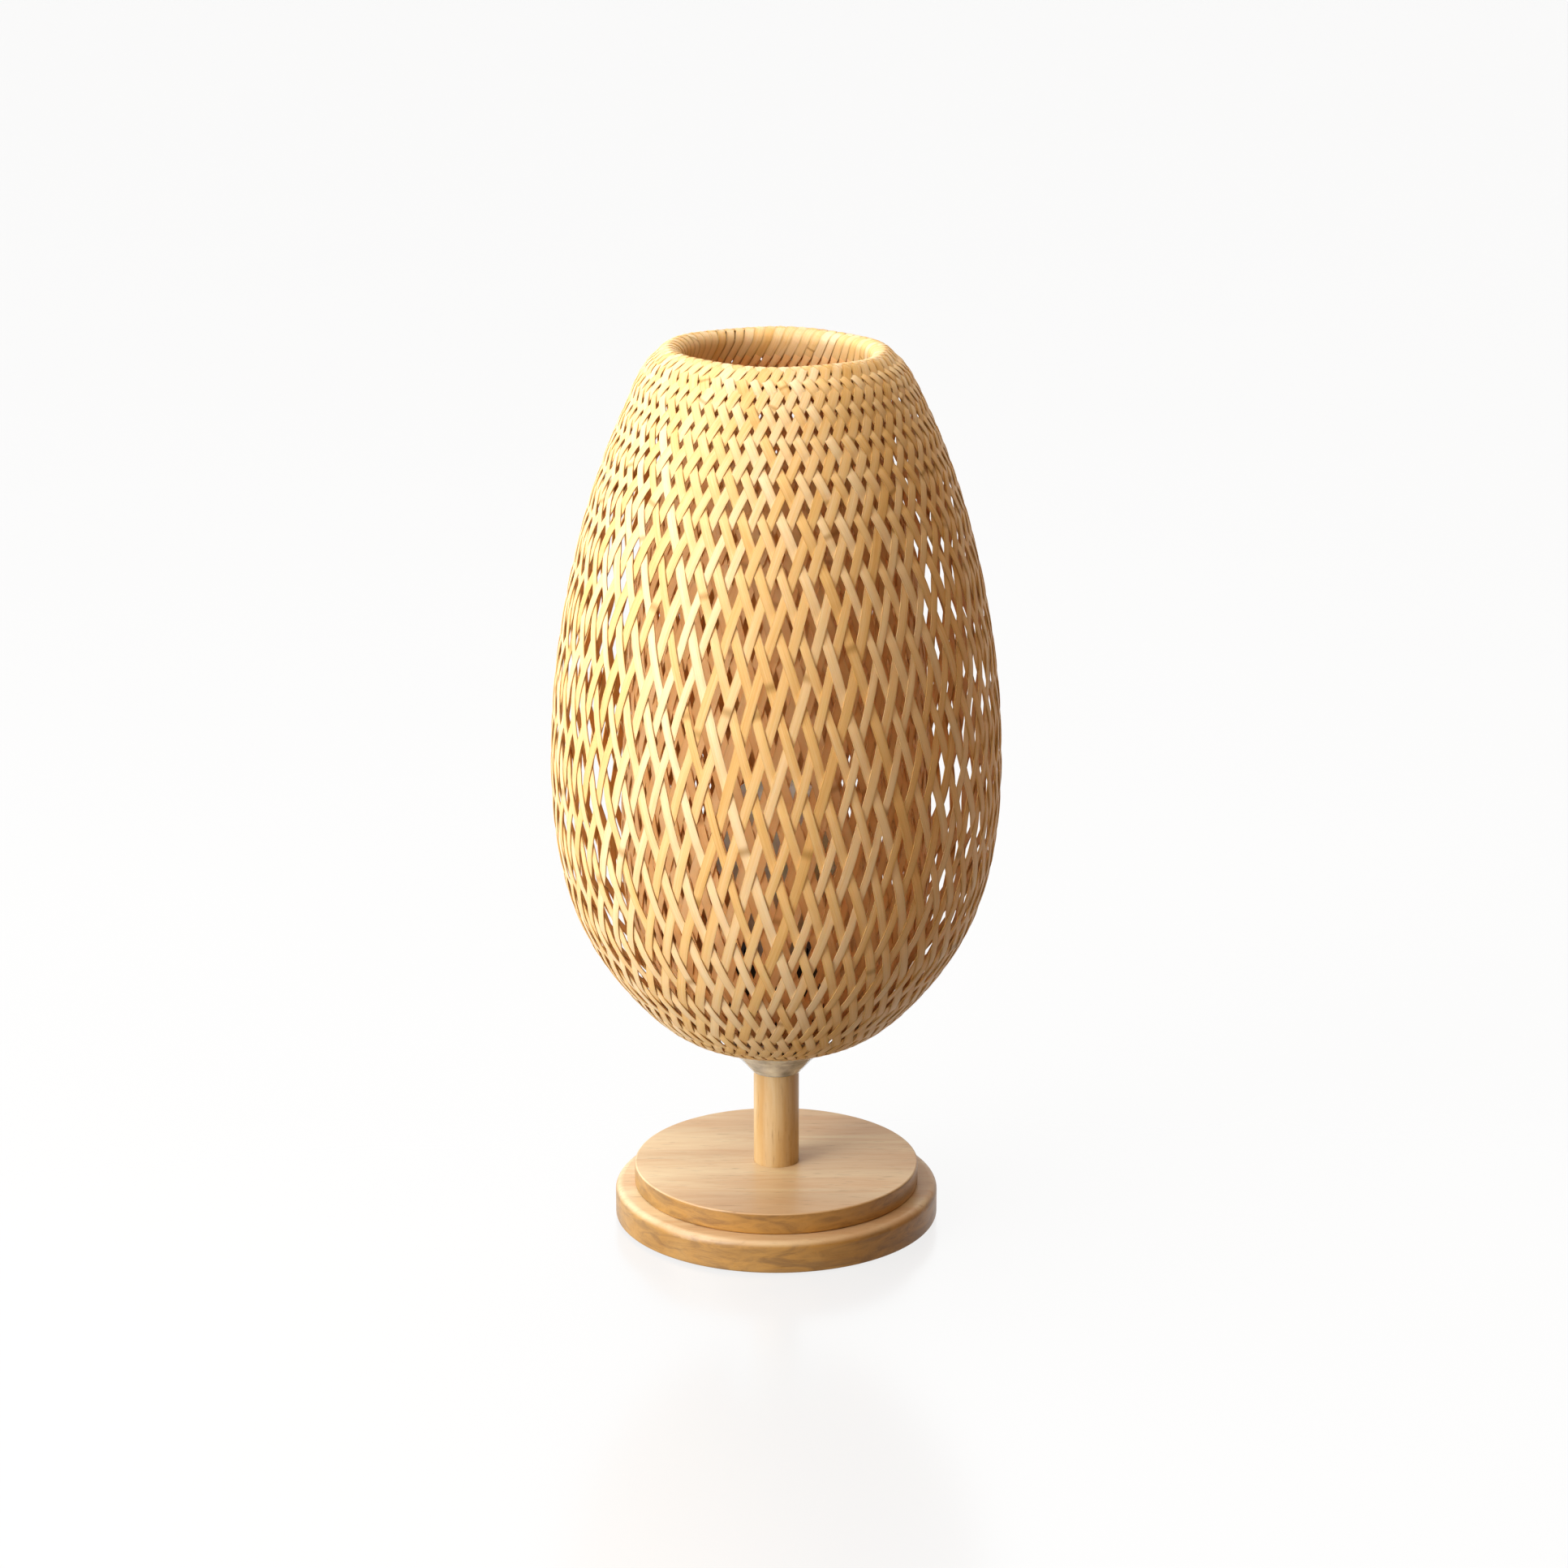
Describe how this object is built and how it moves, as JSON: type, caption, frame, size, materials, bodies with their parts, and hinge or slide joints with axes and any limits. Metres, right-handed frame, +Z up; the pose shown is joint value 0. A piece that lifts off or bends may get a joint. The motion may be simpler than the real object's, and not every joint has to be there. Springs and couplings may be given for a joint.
{
  "type": "table lamp",
  "caption": "Table lamp with an egg-shaped double-layer woven bamboo shade open at the top, on a metal cone collar, round wooden stem and stepped round wooden base.",
  "frame": {"origin": "centre of the felt pad's underside, where the lamp stands", "axes": "+Z up along the stem; +Y towards the back, where the cord inlet is; +X to the right seen from the front"},
  "size_m": [0.2034, 0.2034, 0.4083],
  "materials": {
    "felt": "dense felt, matt",
    "foot_wood": "satin varnish over fine straight grain",
    "stem_wood": "satin varnish, grain along the length",
    "black_rubber": "moulded, matt",
    "zinc_steel": "zinc plated",
    "collar_chrome": "polished sheet",
    "holder_plastic": "moulded, fine matt",
    "porcelain": "glazed white",
    "contact_brass": "rolled strip",
    "fitter_wire": "off-white powder coat",
    "bamboo_outer": "split bamboo strips, natural",
    "bamboo_inner": "split bamboo strips, natural",
    "bamboo_rim": "bamboo strips turned over the lip",
    "rim_cane": "peeled cane",
    "solder": "dull solder",
    "black_glass": "black vitrite",
    "bulb_cap_metal": "nickel plated, threaded",
    "bulb_plastic": "white moulded",
    "opal_globe": "opal diffuser, milky",
    "board_aluminium": "white solder mask",
    "led_phosphor": "yellow phosphor",
    "circuit_board": "green solder mask"
  },
  "bodies": {
    "root": {"felt_pad": "felt", "base_lower_disc": "foot_wood", "base_upper_disc": "foot_wood", "cord_grommet": "black_rubber", "rod_washer": "zinc_steel", "rod_nut": "zinc_steel", "threaded_rod": "zinc_steel", "stem": "stem_wood", "collar_cup": "collar_chrome", "collar_nut": "zinc_steel", "lampholder_cap": "holder_plastic", "lampholder_insert": "porcelain", "terminal_screws": "contact_brass", "centre_contact": "contact_brass", "holder_screw_shell": "contact_brass", "lampholder_barrel": "holder_plastic", "shade_fitter": "fitter_wire", "shade_outer": "bamboo_outer", "shade_inner": "bamboo_inner", "shade_rim": "bamboo_rim", "rim_core": "rim_cane"},
    "bulb_carrier": {"bulb_tip_contact": "solder"},
    "bulb": {"bulb_insulator": "black_glass", "bulb_screw_cap": "bulb_cap_metal", "bulb_housing": "bulb_plastic", "bulb_globe": "opal_globe", "led_board": "board_aluminium", "led_chips": "led_phosphor", "driver_board": "circuit_board"},
    "ring": {"shade_ring": "holder_plastic"}
  },
  "joints": [
    {"name": "bulb_lift", "type": "slide", "parent": "root", "child": "bulb_carrier", "axis": [0, 0, 1], "range_m": [0, 0.01086]},
    {"name": "bulb_turn", "type": "hinge", "parent": "bulb_carrier", "child": "bulb", "pos_m": [0, 0, 0.12], "axis": [0, 0, 1], "range_deg": [0, 1080]},
    {"name": "ring_lift", "type": "slide", "parent": "root", "child": "ring", "axis": [0, 0, 1], "range_m": [0, 0.02]}
  ],
  "couplings": [
    {"joint": "bulb_turn", "follows": "bulb_lift", "rad_per_m": 1735.7}
  ]
}
